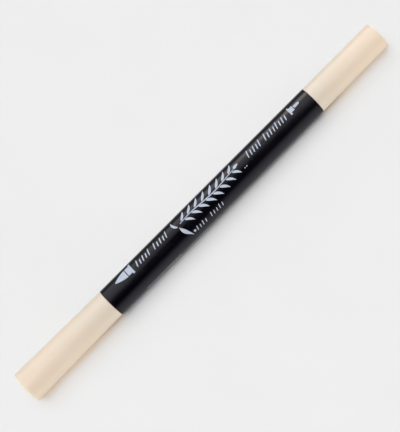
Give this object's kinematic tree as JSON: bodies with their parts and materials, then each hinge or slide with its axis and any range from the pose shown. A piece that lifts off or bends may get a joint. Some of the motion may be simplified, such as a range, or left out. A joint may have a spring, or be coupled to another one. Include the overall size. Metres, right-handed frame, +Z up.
{
  "type": "fabric marking pen",
  "caption": "Slim round twin-tip fabric marker: black barrel with a pull-off sand cap at each end, the longer flared one over a brush nib, the shorter one over a bullet nib.",
  "frame": {"origin": "under the middle of the pen's length, on its axis line seen from above, at the lowest point of the brush cap", "axes": "+X along the pen's axis from the brush cap towards the bullet cap, +Y level across it, +Z up"},
  "size_m": [0.16, 0.0116, 0.0116],
  "materials": {
    "barrel": "smooth glossy black with pale grey-blue print",
    "cap": "smooth satin-gloss sand",
    "inner_cap": "natural uncoloured",
    "nib_holder": "moulded black",
    "nib": "dense bonded fibre, soaked with sand ink",
    "reservoir": "bundled fibre, soaked with sand ink",
    "film": "clear thin film"
  },
  "bodies": {
    "barrel_body": {"barrel": "barrel", "ink_reservoir": "reservoir", "reservoir_film": "film", "brush_nib_holder": "nib_holder", "bullet_nib_holder": "nib_holder", "brush_nib": "nib", "bullet_nib": "nib"},
    "brush_cap": {"brush_cap_shell": "cap", "brush_inner_cap": "inner_cap"},
    "bullet_cap": {"bullet_cap_shell": "cap", "bullet_inner_cap": "inner_cap"}
  },
  "joints": [
    {"name": "brush_cap_pull", "type": "slide", "parent": "barrel_body", "child": "brush_cap", "axis": [-1, 0, 0], "range_m": [0, 0.04]},
    {"name": "bullet_cap_pull", "type": "slide", "parent": "barrel_body", "child": "bullet_cap", "axis": [1, 0, 0], "range_m": [0, 0.03]}
  ]
}
